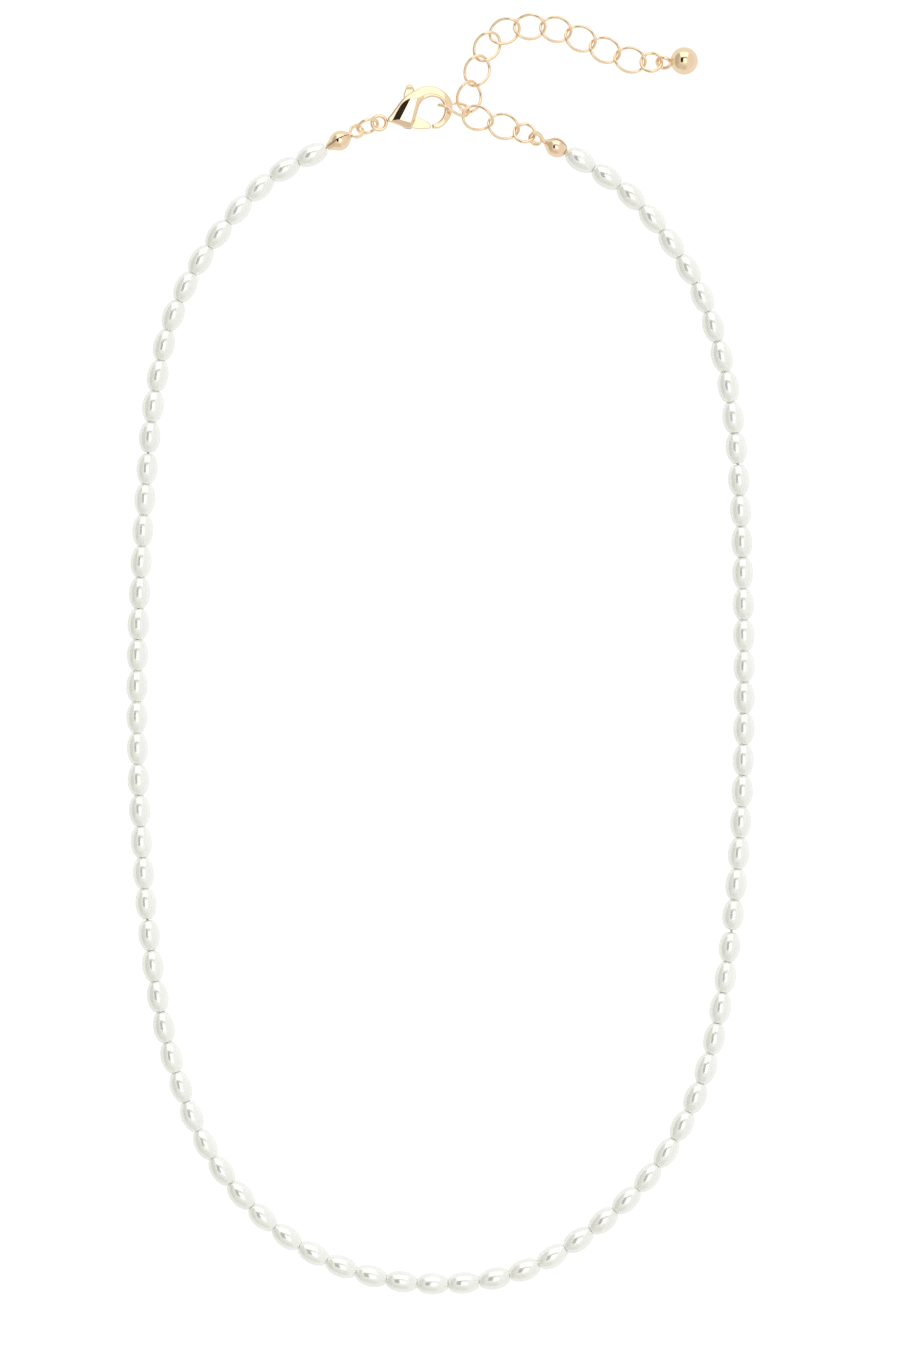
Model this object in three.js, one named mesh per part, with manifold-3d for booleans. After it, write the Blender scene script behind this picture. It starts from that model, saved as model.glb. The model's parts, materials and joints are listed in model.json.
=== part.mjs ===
// A rice-pearl necklace, fastened and lying flat on a table.
// Millimetres, +Z up, +Y towards the clasp, origin on the table under the middle of the outline.
import * as THREE from 'three';
import { mergeVertices } from 'three/addons/utils/BufferGeometryUtils.js';
import Module from 'manifold-3d';

const wasm = await Module();
wasm.setup();

// ---- driving dimensions ----
const PEARL_COUNT = 87;
const PEARLS_PER_GROUP = 3;
const PEARL_RADIUS = 1.58;
const PEARL_BORE_RADIUS = 0.4;
const PEARL_SIDES = 8;              // with two flats level, so a pearl rests on one
const PEARL_NECK_RADIUS = 0.5;      // where the pearls of one group meet
const PEARL_OUTLINE = [[0.78, 0.12], [1, 0.38], [1, 0.62], [0.78, 0.88]];   // share of radius, of length
const GROUP_GAP = 0.2;              // clear gap between two groups of pearls
const FLEX_GAP = 0.36;              // clear gap between the pearls on each side of a bend
const OPEN_GAP = 0.8;               // clear gap at the bend whose pivot is left open
const THREAD_RADIUS = 0.17;
const THREAD_END_GAP = 0.15;
const THREAD_SIDES = 6;
const ROD_SIDES = 10;               // pins, crimps and shanks

const LINK_HALF_LENGTH = 2.26;      // to the middle of the wire
const LINK_HALF_WIDTH = 1.77;
const LINK_WIRE_RADIUS = 0.215;
const LINK_TWIST_DEG = 27;          // how far each end of a curb link is twisted out of flat
const LINK_REST_HEIGHT = 0.66;

const RING_RADIUS = 1.51;
const RING_WIRE_RADIUS = 0.24;
const WIRE_SIDES = 6;
const WIRE_STEPS = 16;
const SMALL_LOOP_STEPS = 12;

const BALL_RADIUS = 2.0;
const BALL_BORE_RADIUS = 0.45;
const BALL_BORE_DEPTH = 3.0;
const BALL_SIDES = 16;
const BALL_STEPS = 8;
const PIN_EYE_RADIUS = 0.975;
const PIN_EYE_WIRE_RADIUS = 0.275;
const PIN_GAP = 0.3;                // between the pin's end and the bottom of the ball's blind bore

const TIP_CUP_RADIUS = 1.42;
const TIP_CUP_WALL = 0.3;
const TIP_CUP_INNER = TIP_CUP_RADIUS - TIP_CUP_WALL;
const TIP_HOLE_RADIUS = 0.4;
const TIP_NECK_LENGTH = 1.8;
const CUP_SWEEP = THREE.MathUtils.degToRad(145);
const CUP_STEPS = 4;
const CUP_SIDES = 10;
const TIP_LOOP_RADIUS = 0.95;
const TIP_LOOP_WIRE_RADIUS = 0.25;
const CRIMP_RADIUS = 0.62;
const CRIMP_LENGTH = 1.1;
const CRIMP_BORE_RADIUS = 0.26;

const HOOK_THICKNESS = 1.5;
const HOOK_BEVEL = 0.2;
const BELLY_THICKNESS = 2.5;
const BELLY_BEVEL = 0.4;
const LEVER_THICKNESS = 0.6;
const LEVER_BEVEL = 0.1;
const LEVER_SLOT = 0.9;
const PIVOT_RADIUS = 0.3;
const PIVOT_CLEARANCE = 0.1;
const SPRING_WIDTH = 0.5;
const SPRING = [
  [-1.15, 1.75], [-1.03, 1.8], [-0.9, 1.1], [-0.56, 1.95], [-0.46, 1.9], [-0.85, 0.85], [-0.95, 0.9],
];
const EYELET_RADIUS = 1.025;
const EYELET_WIRE_RADIUS = 0.275;

// ---- the strand's route, from its left end round the bottom to its right end ----
const ROUTE_DIVISIONS = 2000;
const ROUTE = [
  [-16.7, 73.7], [-24.8, 69.4], [-31.1, 62.8], [-36.2, 55.4], [-39.8, 47.0], [-41.9, 36.0],
  [-43.1, 22.0], [-44.0, 5.0], [-44.2, -11.0], [-43.4, -30.0], [-41.5, -48.0], [-38.3, -61.5],
  [-32.9, -73.6], [-23.9, -83.6], [-12.5, -89.7], [0.0, -91.5], [12.5, -89.4], [24.0, -82.0],
  [32.2, -73.3], [38.1, -61.6], [41.2, -48.0], [43.2, -30.0], [44.0, -14.0], [44.0, 6.0],
  [43.4, 24.0], [41.9, 38.5], [38.6, 50.7], [34.0, 59.2], [27.0, 67.4], [18.35, 73.1],
];
const route = new THREE.CatmullRomCurve3(
  ROUTE.map(([x, y]) => new THREE.Vector3(x, y, PEARL_RADIUS)),
  false,
  'catmullrom',
  0.5,
);
route.arcLengthDivisions = ROUTE_DIVISIONS;
const STRAND_LENGTH = route.getLength();
const PEARL_PITCH = STRAND_LENGTH / PEARL_COUNT;

// Bends, counted in pearls from the left end.
const LEFT_UPPER_BEND = 12;
const LEFT_LOWER_BEND = 27;
const RIGHT_LOWER_BEND = 60;
const RIGHT_UPPER_BEND = 75;
const FLEX_GAPS = new Map([
  [LEFT_UPPER_BEND, FLEX_GAP],
  [LEFT_LOWER_BEND, FLEX_GAP],
  [RIGHT_LOWER_BEND, OPEN_GAP],
  [RIGHT_UPPER_BEND, FLEX_GAP],
]);

// ---- where each finding lies; headings, pitches and rolls in degrees ----
const LEFT_TIP = {
  at: [-14.7, 74.8, PEARL_RADIUS],
  heading: 29,
  loop: { at: [-12.25, 76.2, 1.4], heading: 23, pitch: 1, roll: -25 },
};
const RIGHT_TIP = {
  at: [16.75, 73.8, PEARL_RADIUS],
  heading: 155,
  loop: { at: [13.8, 75.15, 1.25], heading: -31, pitch: 1, roll: 41 },
};
const LEFT_RING = { at: [-10.65, 76.9, 1.55], heading: 20, roll: 57 };
const RIGHT_RING = { at: [12.15, 75.95, 0.95], heading: -22, pitch: 9, roll: -26 };
const END_RING = { at: [30.6, 86.25, 0.9], heading: 2, pitch: 3, roll: -25 };
const BALL_EYE = { heading: 4, pitch: 18, roll: 42, distance: 3.1 };
const BALL_AT = [35.35, 86.35, 2.02];
const CLASP_PIVOT = [-4.75, 77.9, 1.45];
const EYELET_AT = [-4.25, -0.5, 0];
const HOOKED_LINKS = [
  { at: [9.1, 76.9, 0.9], heading: -18, pitch: -3, roll: 5 },
  { at: [5.35, 78.05, 1.3], heading: -20, pitch: -10, roll: 20 },
  { at: [1.85, 79.5, 1.8], heading: -11, pitch: -12, roll: -66 },
  { at: [4.1, 81.25, 0.9], heading: 83, pitch: 5, roll: 16 },
];
const TAIL_LINKS = [
  { at: [5.25, 85.0] }, { at: [6.7, 88.5] }, { at: [9.25, 90.75] }, { at: [12.9, 91.4] },
  { at: [16.7, 91.05] }, { at: [20.3, 89.7] }, { at: [23.85, 88.05] }, { at: [27.5, 86.6] },
];

// ---- finishes ----
const finishes = {
  pearl: { color: 0xe4e6e0, roughness: 0.2, metalness: 0.0 },
  gold: { color: 0xe6c7a2, roughness: 0.18, metalness: 1.0 },
  thread: { color: 0xeeece4, roughness: 0.8, metalness: 0.0 },
  steel: { color: 0xb9b6b0, roughness: 0.3, metalness: 1.0 },
};

const SAME_POINT = 1e-4;             // corners closer than this are one corner
const UP = new THREE.Vector3(0, 0, 1);
const LONG_AXIS = new THREE.Vector3(1, 0, 0);
const Y_ALONG_X = new THREE.Matrix4().makeRotationZ(-Math.PI / 2);   // lays a turned piece along X

const necklace = new THREE.Group();

function addPiece(name, geometry, finish, parent = necklace) {
  const piece = new THREE.Mesh(geometry, new THREE.MeshStandardMaterial(finishes[finish]));
  piece.name = name;
  parent.add(piece);
  return piece;
}

// ---- joining and cutting ----
function toSolid(geometry, matrix) {
  const bare = geometry.index ? geometry.toNonIndexed() : geometry.clone();
  bare.deleteAttribute('normal');
  bare.deleteAttribute('uv');
  if (matrix) {
    bare.applyMatrix4(matrix);
  }
  const merged = mergeVertices(bare, SAME_POINT);
  return new wasm.Manifold(new wasm.Mesh({
    numProp: 3,
    vertProperties: new Float32Array(merged.attributes.position.array),
    triVerts: new Uint32Array(merged.index.array),
  }));
}

function toGeometry(solid) {
  const mesh = solid.getMesh();
  const geometry = new THREE.BufferGeometry();
  geometry.setAttribute('position', new THREE.BufferAttribute(new Float32Array(mesh.vertProperties), 3));
  geometry.setIndex(new THREE.BufferAttribute(new Uint32Array(mesh.triVerts), 1));
  return geometry;
}

// ---- shapes used more than once ----
function rod(radius, length) {
  return new THREE.CylinderGeometry(radius, radius, length, ROD_SIDES);
}

function uprightRod(radius, length) {
  return rod(radius, length).rotateX(Math.PI / 2);
}

function wireLoop(halfLength, halfWidth, wireRadius, twistDeg = 0, steps = WIRE_STEPS) {
  // A closed loop of round wire, drawn out into an oval along X, each end twisted about X by twistDeg.
  const loop = new THREE.TorusGeometry(halfWidth, wireRadius, WIRE_SIDES, steps);
  const twist = THREE.MathUtils.degToRad(twistDeg);
  const corners = loop.attributes.position;
  const corner = new THREE.Vector3();
  for (let nth = 0; nth < corners.count; nth += 1) {
    corner.fromBufferAttribute(corners, nth);
    const along = Math.cos(Math.atan2(corner.y, corner.x));
    corner.x += (halfLength - halfWidth) * along;
    corner.applyAxisAngle(LONG_AXIS, twist * along);
    corners.setXYZ(nth, corner.x, corner.y, corner.z);
  }
  return loop;
}

function place(target, { at, heading = 0, pitch = 0, roll = 0 }) {
  // Heading turns about Z, pitch lifts the +X end, and roll turns about the piece's own long axis.
  const [h, p, r] = [heading, -pitch, roll].map(THREE.MathUtils.degToRad);
  target.rotation.set(r, p, h, 'ZYX');
  target.position.set(...at);
  return target;
}

function placement(pose) {
  const holder = place(new THREE.Object3D(), pose);
  holder.updateMatrix();
  return holder.matrix;
}

// ---- pearls ----
function pointAt(pearls) {
  // The strand's middle, so many pearls from its left end.
  return route.getPointAt(pearls / PEARL_COUNT);
}

function gapAt(pearls) {
  return (FLEX_GAPS.get(pearls) ?? GROUP_GAP) / PEARL_PITCH;
}

function groupProfile(first) {
  // Half the section of one group of bored pearls in a row, Y counted in pearls from the left end.
  const last = first + PEARLS_PER_GROUP;
  const flat = 1 / Math.cos(Math.PI / PEARL_SIDES);    // makes the flats, not the corners, one radius out
  const outside = [];
  const bore = [];
  for (let pearl = first; pearl < last; pearl += 1) {
    const start = pearl === first ? pearl + gapAt(pearl) / 2 : pearl;
    const end = pearl === last - 1 ? pearl + 1 - gapAt(pearl + 1) / 2 : pearl + 1;
    outside.push([pearl === first ? PEARL_BORE_RADIUS : PEARL_NECK_RADIUS, start]);
    for (const [share, along] of PEARL_OUTLINE) {
      outside.push([share * PEARL_RADIUS * flat, THREE.MathUtils.lerp(start, end, along)]);
    }
    bore.push([PEARL_BORE_RADIUS, start]);
    if (pearl === last - 1) {
      outside.push([PEARL_BORE_RADIUS, end]);
    }
  }
  return [...outside, ...bore.toReversed()].map(([r, y]) => new THREE.Vector2(r, y));
}

function bendAlongStrand(turning) {
  // Moves a piece turned about Y, where Y counts pearls, onto the strand's route.
  const corners = turning.attributes.position;
  for (let nth = 0; nth < corners.count; nth += 1) {
    const share = corners.getY(nth) / PEARL_COUNT;
    const aside = route.getTangentAt(share).cross(UP);
    const corner = route.getPointAt(share)
      .addScaledVector(aside, corners.getX(nth))
      .addScaledVector(UP, corners.getZ(nth));
    corners.setXYZ(nth, corner.x, corner.y, corner.z);
  }
  return turning;
}

function addPearlGroups() {
  for (let first = 0; first < PEARL_COUNT; first += PEARLS_PER_GROUP) {
    const turning = new THREE.LatheGeometry(groupProfile(first), PEARL_SIDES, Math.PI / PEARL_SIDES);
    const number = first / PEARLS_PER_GROUP + 1;
    addPiece(`pearls_${String(number).padStart(2, '0')}`, bendAlongStrand(turning), 'pearl');
  }
}

// ---- thread ----
function regularPolygon(radius, sides) {
  const corners = [];
  for (let side = 0; side < sides; side += 1) {
    const turn = (2 * Math.PI * side) / sides;
    corners.push(new THREE.Vector2(radius * Math.cos(turn), radius * Math.sin(turn)));
  }
  return new THREE.Shape(corners);
}

function addThread(name, fromPearl, toPearl, startAt, endAt) {
  // One length of thread between two bends, with a short clear gap at each bend.
  const points = [];
  for (let pearls = fromPearl; pearls <= toPearl; pearls += 1) {
    points.push(pointAt(pearls));
  }
  const last = points.length - 1;
  points[0].lerp(points[1], startAt ? 0 : THREAD_END_GAP / PEARL_PITCH);
  points[last].lerp(points[last - 1], endAt ? 0 : THREAD_END_GAP / PEARL_PITCH);
  if (startAt) {
    points.unshift(new THREE.Vector3(...startAt));
  }
  if (endAt) {
    points.push(new THREE.Vector3(...endAt));
  }
  const path = new THREE.CatmullRomCurve3(points);
  const section = regularPolygon(THREAD_RADIUS, THREAD_SIDES);
  const tube = new THREE.ExtrudeGeometry(section, { steps: points.length - 1, extrudePath: path });
  addPiece(name, tube, 'thread');
}

function addThreads() {
  addThread('thread_upper_left', 0, LEFT_UPPER_BEND, LEFT_TIP.at, null);
  addThread('thread_left', LEFT_UPPER_BEND, LEFT_LOWER_BEND, null, null);
  addThread('thread_lower', LEFT_LOWER_BEND, RIGHT_LOWER_BEND, null, null);
  addThread('thread_right', RIGHT_LOWER_BEND, RIGHT_UPPER_BEND, null, null);
  addThread('thread_upper_right', RIGHT_UPPER_BEND, PEARL_COUNT, null, RIGHT_TIP.at);
}

// ---- bead tips: two half cups closed on the thread's crimp, with a loop ----
function cupProfile() {
  // A thin ball from its loop end (+Y) to the thread's hole (-Y), where it draws in to a short neck.
  const outer = [];
  const inner = [];
  for (let step = 0; step <= CUP_STEPS; step += 1) {
    const angle = Math.PI / 2 - (step / CUP_STEPS) * CUP_SWEEP;
    outer.push([TIP_CUP_RADIUS * Math.cos(angle), TIP_CUP_RADIUS * Math.sin(angle)]);
    inner.push([TIP_CUP_INNER * Math.cos(angle), TIP_CUP_INNER * Math.sin(angle)]);
  }
  outer[0][0] = 0;
  inner[0][0] = 0;
  const neck = [[TIP_HOLE_RADIUS + TIP_CUP_WALL, -TIP_NECK_LENGTH], [TIP_HOLE_RADIUS, -TIP_NECK_LENGTH]];
  return [...inner, ...neck.toReversed(), ...outer.toReversed()]
    .map(([r, y]) => new THREE.Vector2(r, y));
}

function addBeadTip(name, tip) {
  const cup = toSolid(new THREE.LatheGeometry(cupProfile(), CUP_SIDES), placement({
    at: tip.at,
    heading: tip.heading,
  }).multiply(Y_ALONG_X));
  const loop = toSolid(wireLoop(TIP_LOOP_RADIUS, TIP_LOOP_RADIUS, TIP_LOOP_WIRE_RADIUS, 0, SMALL_LOOP_STEPS),
    placement(tip.loop));
  const from = new THREE.Vector3(...tip.at);
  const to = new THREE.Vector3(...tip.loop.at);
  const along = to.clone().sub(from).normalize();
  from.addScaledVector(along, TIP_CUP_RADIUS - TIP_CUP_WALL / 2);
  to.addScaledVector(along, -TIP_LOOP_RADIUS);
  const shank = rod(TIP_LOOP_WIRE_RADIUS, from.distanceTo(to));
  const turn = new THREE.Quaternion().setFromUnitVectors(new THREE.Vector3(0, 1, 0), along);
  const matrix = new THREE.Matrix4().makeRotationFromQuaternion(turn);
  matrix.setPosition(from.lerp(to, 0.5));
  addPiece(name, toGeometry(cup.add(loop).add(toSolid(shank, matrix))), 'gold');
}

function addCrimp(name, tip) {
  // A short tube squeezed on the thread's end inside the closed cups.
  const half = CRIMP_LENGTH / 2;
  const profile = [
    [CRIMP_BORE_RADIUS, -half], [CRIMP_RADIUS, -half], [CRIMP_RADIUS, half], [CRIMP_BORE_RADIUS, half],
    [CRIMP_BORE_RADIUS, -half],
  ].map(([r, y]) => new THREE.Vector2(r, y));
  const crimp = new THREE.LatheGeometry(profile, ROD_SIDES);
  crimp.applyMatrix4(Y_ALONG_X);
  place(addPiece(name, crimp, 'steel'), { at: tip.at, heading: tip.heading });
}

// ---- rings, links and the end ball ----
function addRing(name, pose) {
  place(addPiece(name, wireLoop(RING_RADIUS, RING_RADIUS, RING_WIRE_RADIUS), 'gold'), pose);
}

function addLinks() {
  // Links 1 and 2 run to the strand, link 3 is the one in the hook, and the rest hang free as a tail.
  const tail = TAIL_LINKS.map((pose) => new THREE.Vector2(...pose.at));
  const poses = [...HOOKED_LINKS];
  tail.forEach((at, nth) => {
    const before = nth === 0 ? new THREE.Vector2(...HOOKED_LINKS[3].at) : tail[nth - 1];
    const after = nth === tail.length - 1 ? new THREE.Vector2(...END_RING.at) : tail[nth + 1];
    const heading = THREE.MathUtils.radToDeg(after.clone().sub(before).angle());
    poses.push({ at: [at.x, at.y, LINK_REST_HEIGHT], heading });
  });
  poses.forEach((pose, nth) => {
    const link = wireLoop(LINK_HALF_LENGTH, LINK_HALF_WIDTH, LINK_WIRE_RADIUS, LINK_TWIST_DEG);
    place(addPiece(`extender_link_${String(nth + 1).padStart(2, '0')}`, link, 'gold'), pose);
  });
}

function addBall() {
  // A round bead with a blind bore from its -X side, where the eye pin goes in.
  const boreEnd = BALL_BORE_DEPTH - BALL_RADIUS;
  const profile = [[0, boreEnd], [BALL_BORE_RADIUS, boreEnd]];
  const start = -Math.acos(BALL_BORE_RADIUS / BALL_RADIUS);
  for (let step = 0; step < BALL_STEPS; step += 1) {
    const angle = THREE.MathUtils.lerp(start, Math.PI / 2, step / BALL_STEPS);
    profile.push([BALL_RADIUS * Math.cos(angle), BALL_RADIUS * Math.sin(angle)]);
  }
  profile.push([0, BALL_RADIUS]);
  const ball = new THREE.LatheGeometry(profile.map(([r, y]) => new THREE.Vector2(r, y)), BALL_SIDES);
  ball.applyMatrix4(Y_ALONG_X);
  place(addPiece('end_ball', ball, 'gold'), { at: BALL_AT, heading: BALL_EYE.heading, pitch: BALL_EYE.pitch });
}

function addEyePin() {
  // A wire loop on a shank that is fixed in the ball's bore.
  const holder = place(new THREE.Group(), { at: BALL_AT, heading: BALL_EYE.heading, pitch: BALL_EYE.pitch });
  necklace.add(holder);
  const eyeMiddle = -BALL_EYE.distance;
  const eye = toSolid(
    wireLoop(PIN_EYE_RADIUS, PIN_EYE_RADIUS, PIN_EYE_WIRE_RADIUS, 0, SMALL_LOOP_STEPS),
    placement({ at: [eyeMiddle, 0, 0], roll: BALL_EYE.roll }),
  );
  const shankStart = eyeMiddle + PIN_EYE_RADIUS;
  const shankEnd = BALL_BORE_DEPTH - BALL_RADIUS - PIN_GAP;
  const shank = rod(PIN_EYE_WIRE_RADIUS, shankEnd - shankStart);
  shank.applyMatrix4(Y_ALONG_X);
  shank.translate((shankStart + shankEnd) / 2, 0, 0);
  addPiece('ball_eye_pin', toGeometry(eye.add(toSolid(shank))), 'gold', holder);
}

// ---- lobster clasp, in its own frame: the lever's pivot at the origin, Z across the clasp ----
const HOOK_OUTER = [
  [-3.0, 0.2], [-2.6, 0.6], [-1.95, 1.5], [-0.75, 3.05], [0.65, 4.05], [1.85, 4.65], [3.15, 4.85],
  [4.45, 4.5], [5.55, 3.7], [6.25, 2.7], [6.4, 1.6], [6.1, 0.3], [5.35, -0.7], [4.45, -1.3], [3.5, -1.35],
];
const HOOK_INNER = [
  [3.4, -0.8], [4.25, -0.45], [4.95, 0.3], [5.25, 1.3], [5.05, 2.3], [4.35, 3.05], [3.35, 3.25],
  [2.35, 2.9], [1.7, 2.2], [1.3, 1.1], [1.0, -0.1],
];
const BODY_LOWER = [[0.45, -1.4], [-0.45, -1.3], [-1.45, -0.85], [-2.55, -0.45], [-3.0, -0.35]];
const BELLY = [
  [-2.25, 0.25], [-1.15, 1.9], [0.15, 3.0], [1.45, 3.0], [1.0, 1.4], [0.75, 0.1], [0.15, -0.9],
  [-0.65, -0.95], [-1.75, -0.4],
];
const LEVER_WAY = [
  [-0.85, -1.0], [-1.05, 0.0], [-3.4, 5.3], [1.1, 5.9], [1.05, 1.9], [1.75, 1.4], [1.95, -1.9],
  [0.0, -1.9],
];
const LEVER = [
  [0.85, 0.6], [0.6, 1.5], [0.8, 3.6], [0.8, 4.4], [0.5, 4.95], [0.15, 5.12], [-0.2, 4.9], [-0.45, 4.3],
  [-0.75, 3.3], [-0.5, 1.5], [-0.6, 0.35], [-0.65, -0.2], [-0.35, -0.75], [0.3, -1.15], [1.1, -1.38],
  [2.2, -1.42], [3.0, -1.35], [3.15, -1.05], [2.95, -0.5], [1.9, 0.1],
];

function toShape(points) {
  return new THREE.Shape(points.map(([x, y]) => new THREE.Vector2(x, y)));
}

function plate(shape, thickness, bevel) {
  // A flat plate on both sides of z = 0, its edges bevelled inside the outline.
  const geometry = new THREE.ExtrudeGeometry(shape, {
    depth: thickness - 2 * bevel,
    bevelEnabled: bevel > 0,
    bevelThickness: bevel,
    bevelSize: bevel,
    bevelOffset: -bevel,
    bevelSegments: 1,
    curveSegments: 2,
  });
  geometry.translate(0, 0, bevel - thickness / 2);
  return geometry;
}

function hookShape() {
  const shape = new THREE.Shape();
  shape.moveTo(...HOOK_OUTER[0]);
  shape.splineThru(HOOK_OUTER.slice(1).map(([x, y]) => new THREE.Vector2(x, y)));
  shape.lineTo(...HOOK_INNER[0]);
  shape.splineThru(HOOK_INNER.slice(1).map(([x, y]) => new THREE.Vector2(x, y)));
  shape.lineTo(...BODY_LOWER[0]);
  shape.splineThru(BODY_LOWER.slice(1).map(([x, y]) => new THREE.Vector2(x, y)));
  return shape;
}

function addClasp() {
  const clasp = place(new THREE.Group(), { at: CLASP_PIVOT });
  necklace.add(clasp);
  const eyelet = toSolid(
    wireLoop(EYELET_RADIUS, EYELET_RADIUS, EYELET_WIRE_RADIUS, 0, SMALL_LOOP_STEPS),
    placement({ at: EYELET_AT }),
  );
  const pinHole = uprightRod(PIVOT_RADIUS + PIVOT_CLEARANCE, 2 * BELLY_THICKNESS);
  const body = toSolid(plate(hookShape(), HOOK_THICKNESS, HOOK_BEVEL))
    .add(toSolid(plate(toShape(BELLY), BELLY_THICKNESS, BELLY_BEVEL)))
    .add(eyelet)
    .subtract(toSolid(plate(toShape(LEVER_WAY), LEVER_SLOT, 0)))
    .subtract(toSolid(pinHole));
  addPiece('clasp_body', toGeometry(body), 'gold', clasp);
  const lever = toSolid(plate(toShape(LEVER), LEVER_THICKNESS, LEVER_BEVEL))
    .subtract(toSolid(pinHole));
  addPiece('clasp_lever', toGeometry(lever), 'gold', clasp);
  addPiece('clasp_pivot', uprightRod(PIVOT_RADIUS, BELLY_THICKNESS), 'gold', clasp);
  addPiece('clasp_spring', plate(toShape(SPRING), SPRING_WIDTH, 0), 'steel', clasp);
}

addPearlGroups();
addThreads();
addBeadTip('bead_tip_left', LEFT_TIP);
addBeadTip('bead_tip_right', RIGHT_TIP);
addCrimp('crimp_left', LEFT_TIP);
addCrimp('crimp_right', RIGHT_TIP);
addRing('jump_ring_left', LEFT_RING);
addRing('jump_ring_right', RIGHT_RING);
addRing('jump_ring_end', END_RING);
addLinks();
addBall();
addEyePin();
addClasp();

export default necklace;
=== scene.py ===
# %% [markdown]
# # A strand of rice pearls with a lobster clasp
#
# This lesson builds the visible model of a short pearl necklace. It lies fastened on a white table: 87
# rice-shaped pearls on a thread, a clamshell bead tip at each end, a cast lobster clasp on the left, and
# an extender chain of twisted links that ends in a ball.
#
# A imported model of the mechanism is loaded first, as a fixed frame. It says where the pieces lie and how
# they move. Each cell then makes the fine surface of one kind of piece and hangs it on the body it moves
# with.

# %% Load the frame
import json
import math
import random

import bpy
import numpy as np
from mathutils import Matrix, Vector
from mathutils.geometry import delaunay_2d_cdt

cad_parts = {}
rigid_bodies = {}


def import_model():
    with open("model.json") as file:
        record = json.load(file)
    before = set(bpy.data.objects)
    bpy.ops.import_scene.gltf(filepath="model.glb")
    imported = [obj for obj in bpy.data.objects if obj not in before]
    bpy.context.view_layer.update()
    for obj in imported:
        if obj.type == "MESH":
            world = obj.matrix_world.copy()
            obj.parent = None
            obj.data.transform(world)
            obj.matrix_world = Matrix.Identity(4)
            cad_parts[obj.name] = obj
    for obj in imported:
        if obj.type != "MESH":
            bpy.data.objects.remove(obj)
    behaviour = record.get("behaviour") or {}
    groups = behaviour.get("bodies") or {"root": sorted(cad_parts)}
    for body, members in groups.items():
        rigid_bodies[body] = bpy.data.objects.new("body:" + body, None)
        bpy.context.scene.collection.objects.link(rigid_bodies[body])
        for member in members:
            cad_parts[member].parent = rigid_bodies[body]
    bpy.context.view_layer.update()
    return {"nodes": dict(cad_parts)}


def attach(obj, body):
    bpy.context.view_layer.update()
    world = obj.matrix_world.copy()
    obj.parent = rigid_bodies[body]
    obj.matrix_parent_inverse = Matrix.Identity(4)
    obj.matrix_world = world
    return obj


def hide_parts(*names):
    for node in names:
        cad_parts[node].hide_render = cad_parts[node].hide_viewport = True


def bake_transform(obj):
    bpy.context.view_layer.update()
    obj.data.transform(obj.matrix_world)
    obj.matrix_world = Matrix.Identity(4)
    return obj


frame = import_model()
scene = bpy.context.scene

# %% [markdown]
# ## Working in millimetres
#
# Blender counts in metres, but a jeweller thinks in millimetres, and a boolean cut is safer on numbers
# near 1 than on numbers near 0.001. So every shape below is worked out in millimetres, and one function
# turns a finished list of corners and faces into a Blender object in metres.

# %% Points and faces into an object
MM = 0.001
random.seed(87)


def shade_by_angle(mesh, sharp_degrees):
    mesh.shade_smooth()
    mesh.set_sharp_from_angle(angle=math.radians(sharp_degrees))


def solid(name, points, faces):
    """A mesh object just as given, before any scaling or shading."""
    mesh = bpy.data.meshes.new(name)
    mesh.from_pydata(points, [], faces)
    made = bpy.data.objects.new(name, mesh)
    scene.collection.objects.link(made)
    return made


def new_piece(name, points, faces, sharp_degrees=35):
    """A finished mesh object in metres, from corners in millimetres."""
    piece = solid(name, [[value * MM for value in point] for point in points], faces)
    piece.data.validate()
    shade_by_angle(piece.data, sharp_degrees)
    return piece


def hang(piece, body, finish, slot, *nodes):
    """Gives a piece its finish and the body it moves with, and hides the frame nodes it stands for."""
    piece.data.materials.clear()
    piece.data.materials.append(finish)
    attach(piece, body)
    if nodes:
        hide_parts(*nodes)
    return piece


# %% [markdown]
# ## The camera
#
# The necklace is seen flat, from straight above. A long lens from more than a metre up keeps every pearl
# nearly face on, as a catalogue picture does. The field of view is worked out from the strip of table
# that has to fit along the tall side.

# %% Camera
VIEW_HEIGHT = 1.2
VIEW_LONG_SIDE = 0.19656
VIEW_MIDDLE = (0.00131, -0.00291)

camera_data = bpy.data.cameras.new("studio_camera")
camera_data.sensor_width = 36
camera_data.lens = camera_data.sensor_width * VIEW_HEIGHT / VIEW_LONG_SIDE
camera = bpy.data.objects.new("studio_camera", camera_data)
camera.location = (*VIEW_MIDDLE, VIEW_HEIGHT)
scene.collection.objects.link(camera)
scene.camera = camera
print("lens:", round(camera_data.lens, 1), "mm")

# %% [markdown]
# ## Two effects that several finishes share
#
# No real surface is one even colour. Pearl dip pools a little, plating is a touch thicker in one place
# than another, and handling leaves hair-fine scratches. Both effects are node groups, built once and then
# placed in each material with that material's own numbers. They read Object coordinates, so the pattern
# stays on the piece when it moves.

# %% Helpers for node trees


def add_node(tree, kind, **settings):
    made = tree.nodes.new(kind)
    for name, value in settings.items():
        setattr(made, name, value)
    return made


def set_inputs(target, **values):
    for name, value in values.items():
        target.inputs[name.replace("_", " ")].default_value = value


def add_math(tree, operation, *values, clamp=False):
    """A math node's result. Each value is a number for its socket, or an output to link to it."""
    made = add_node(tree, "ShaderNodeMath", operation=operation, use_clamp=clamp)
    for socket, value in zip(made.inputs, values):
        if isinstance(value, float):
            socket.default_value = value
        else:
            tree.links.new(value, socket)
    return made.outputs[0]


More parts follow.
